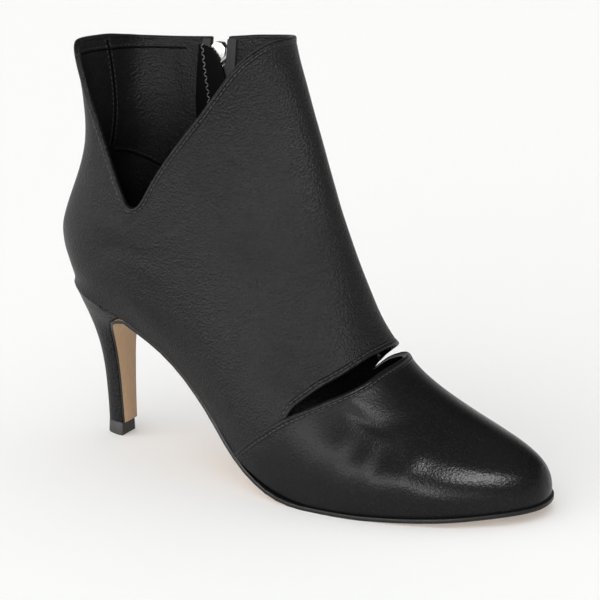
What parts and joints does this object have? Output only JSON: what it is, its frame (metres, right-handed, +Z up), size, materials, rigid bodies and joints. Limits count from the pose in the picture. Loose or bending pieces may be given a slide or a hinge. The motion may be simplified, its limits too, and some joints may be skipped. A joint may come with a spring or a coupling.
{
  "type": "high heel ankle boot",
  "caption": "Hollow leather ankle boot for the right foot with a V-notched collar, an instep cut-out, an inner-side zip and a slim covered heel.",
  "frame": {"origin": "centre of the heel top piece's flat underside, on the floor", "axes": "+X from heel to toe, +Y to the inner (zip) side, +Z up"},
  "size_m": [0.23, 0.0803, 0.1845],
  "materials": {
    "upper_leather": "satin black",
    "heel_leather": "satin black",
    "insole_lining": "matt black",
    "guard_lining": "matt black",
    "outsole_leather": "matt tan",
    "top_piece_rubber": "matt black",
    "tape": "woven black",
    "zip_metal": "polished nickel"
  },
  "bodies": {
    "shoe": {"upper": "upper_leather", "outsole": "outsole_leather", "insole": "insole_lining", "heel": "heel_leather", "top_piece": "top_piece_rubber", "zip_tape": "tape", "zip_chain": "zip_metal", "zip_guard": "guard_lining", "zip_slider": "zip_metal"},
    "zip_pull": {"zip_pull": "zip_metal"}
  },
  "joints": [
    {"name": "pull_hinge", "type": "hinge", "parent": "shoe", "child": "zip_pull", "pos_m": [0.03798, 0.03132, 0.17218], "axis": [0.9969, 0.0017, -0.0782], "range_deg": [0, 170]}
  ]
}
